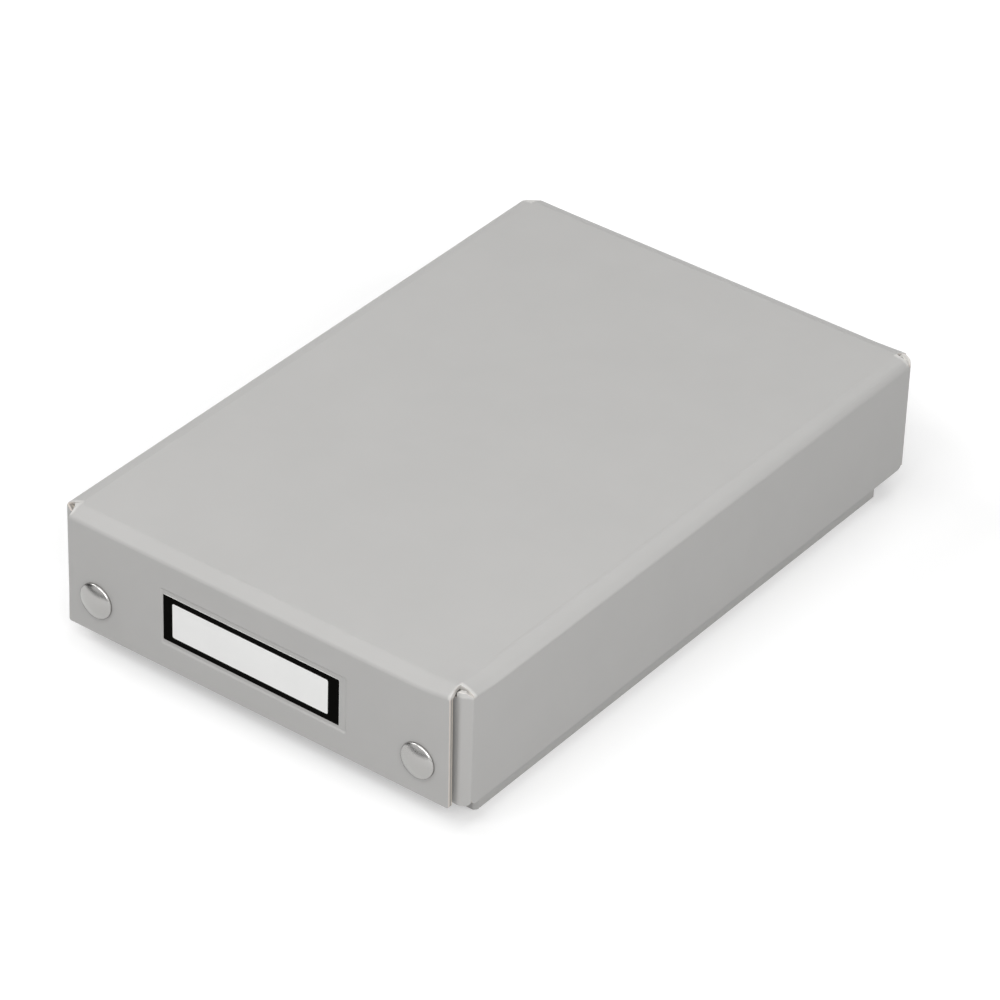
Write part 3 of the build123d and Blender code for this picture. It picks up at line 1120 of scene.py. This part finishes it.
def snap_pieces(name, shape, body, slot, finish, half_spacing, face, level, turn):
    """Both of an end's pieces of one kind, made by the snap pair nodes and set on their body."""
    maker = in_scene(f"{name}_maker", shape)
    nodes = maker.modifiers.new("snap pair", "NODES")
    nodes.node_group = snap_pair
    values = {"Half Spacing": half_spacing, "Face": face, "Level": level, "Turn": turn, "Finish": finish}
    for socket in snap_pair.interface.items_tree:
        if socket.in_out == "INPUT" and socket.name in values:
            nodes[socket.identifier] = values[socket.name]
    made = maker.evaluated_get(bpy.context.evaluated_depsgraph_get())
    mesh = bpy.data.meshes.new_from_object(made)
    bpy.data.objects.remove(maker)
    dress(in_scene(name, mesh), body, slot, name)


snap_shapes = {
    "caps": (cap_shape(), "satin_nickel", nickel_finish),
    "sockets": (socket_shape(), "satin_nickel", nickel_finish),
    "springs": (spring_shape(), "spring_steel", spring_finish),
    "studs": (stud_shape(), "satin_nickel", nickel_finish),
    "posts": (post_shape(), "satin_nickel", nickel_finish),
}
for end, way in ends:
    turn = math.pi if end == "back" else 0.0
    tray_face = tray_back if end == "back" else tray_front
    for kind, (shape, slot, finish) in snap_shapes.items():
        body = "lid" if kind in ("studs", "posts") else f"lid_{end}_flap"
        snap_pieces(f"lid_{end}_snap_{kind}", shape, body, slot, finish,
                    lid_snap_x, way * lid_end, lid_snap_z, turn)
        snap_pieces(f"tray_{end}_snap_{kind}", shape, "tray", slot, finish,
                    tray_snap_x, tray_face, tray_snap_z, turn)


# Camera at the photograph's viewing angle
camera_place = (0.7014, -0.9554, 0.8456)
camera_right = Vector((0.7944, 0.6067, 0.0283))
camera_up = Vector((-0.3655, 0.4403, 0.8201))
camera_back = Vector((0.4851, -0.6619, 0.5715))
camera_lens = 180.2

camera = in_scene("camera", bpy.data.cameras.new("camera"))
camera.data.lens = camera_lens
camera.data.sensor_width = 36.0
camera.data.clip_start = 0.05
camera.data.clip_end = 20.0
camera_turn = Matrix((camera_right, camera_up, camera_back)).transposed().to_4x4()
camera.matrix_world = Matrix.Translation(camera_place) @ camera_turn
scene.camera = camera


# Floor and light. The floor's glow, which only makes it look white, grows between two distances.
floor_half = 4.0
floor_gap = 0.00005
floor_paint = (0.65, 0.65, 0.65, 1)
card_black = (0.02, 0.02, 0.02, 1)
glow_near = 0.15
glow_far = 0.5
least_glow = 0.4
most_glow = 0.9
ambient_light = 0.216
lamp_target = Vector((0, 0, 0.03))

# Lamps: name, place, width, height and power
lamps = (
    ("lamp over", (0, 0, 1.3), 0.8, 0.8, 1.5),
    ("lamp back", (0, 0.8, 1.1), 0.8, 0.5, 2.7),
    ("lamp left", (-1.0, -0.25, 0.95), 0.7, 0.7, 5.2),
    ("lamp front", (0, -0.8, 1.1), 0.8, 0.5, 5.3),
    ("lamp front right", (0.75, -0.75, 0.8), 0.6, 0.6, 6.8),
    ("lamp right", (1.2, 0.1, 0.5), 0.6, 0.6, 2.2),
)


def seen_rays(tree):
    """1 for the rays that see the background itself: from the camera, metal or glass."""
    rays = add_node(tree, "ShaderNodeLightPath").outputs
    seen = rays["Is Camera Ray"]
    for kind in ("Is Glossy Ray", "Is Transmission Ray"):
        seen = maths(tree, "MAXIMUM", seen, rays[kind])
    return seen


def studio_floor():
    """A pale floor that keeps the object's shadow and turns white further away."""
    shape = bmesh.new()
    bmesh.ops.create_grid(shape, x_segments=2, y_segments=2, size=floor_half)
    mesh = bpy.data.meshes.new("floor")
    shape.to_mesh(mesh)
    shape.free()
    floor = in_scene("floor", mesh)
    floor.location.z = -floor_gap
    material = bpy.data.materials.new("white sweep")
    material.use_nodes = True
    tree = material.node_tree
    tree.nodes.clear()
    paint = add_node(tree, "ShaderNodeBsdfDiffuse", Color=floor_paint)
    place = add_node(tree, "ShaderNodeTexCoord").outputs["Object"]
    away = add_node(tree, "ShaderNodeVectorMath", operation="LENGTH", _0=place).outputs["Value"]
    far = add_node(tree, "ShaderNodeMapRange", Value=away, From_Min=glow_near, From_Max=glow_far,
                   To_Min=least_glow, To_Max=most_glow)
    lift = maths(tree, "MULTIPLY", seen_rays(tree), far.outputs[0])
    glow = add_node(tree, "ShaderNodeEmission", Strength=lift)
    both = add_node(tree, "ShaderNodeAddShader", _0=paint.outputs[0], _1=glow.outputs[0])
    end = tree.nodes.new("ShaderNodeOutputMaterial")
    tree.links.new(both.outputs[0], end.inputs["Surface"])
    mesh.materials.append(material)


def studio_world():
    """Even soft light, with white behind the object for the camera and for reflections."""
    world = bpy.data.worlds.new("studio")
    scene.world = world
    world.use_nodes = True
    tree = world.node_tree
    background = tree.nodes["Background"]
    level = add_node(tree, "ShaderNodeMapRange", Value=seen_rays(tree), To_Min=ambient_light, To_Max=1.0)
    background.inputs["Color"].default_value = (1, 1, 1, 1)
    tree.links.new(level.outputs[0], background.inputs["Strength"])


def softbox(name, place, width, height, power):
    """A rectangular softbox that faces the tray."""
    lamp = bpy.data.lights.new(name, "AREA")
    lamp.shape = "RECTANGLE"
    lamp.size = width
    lamp.size_y = height
    lamp.energy = power
    holder = in_scene(name, lamp)
    holder.location = place
    holder.rotation_euler = (lamp_target - Vector(place)).to_track_quat("-Z", "Y").to_euler()


def dark_card(name, start, end, height):
    """An upright dark card on the floor that only reflections show."""
    start, end, up = Vector((*start, 0)), Vector((*end, 0)), Vector((0, 0, height))
    mesh = bpy.data.meshes.new(name)
    mesh.from_pydata([start, end, end + up, start + up], [], [(0, 1, 2, 3)])
    mesh.materials.append(Finish("black card", Base_Color=card_black).material)
    card = in_scene(name, mesh)
    card.visible_camera = False
    card.visible_diffuse = False
    card.visible_shadow = False


studio_floor()
studio_world()
for lamp in lamps:
    softbox(*lamp)
dark_card("card left", (-0.42, -0.08), (-0.26, -0.34), 0.26)
dark_card("card front", (-0.26, -0.34), (0.15, -0.40), 0.045)
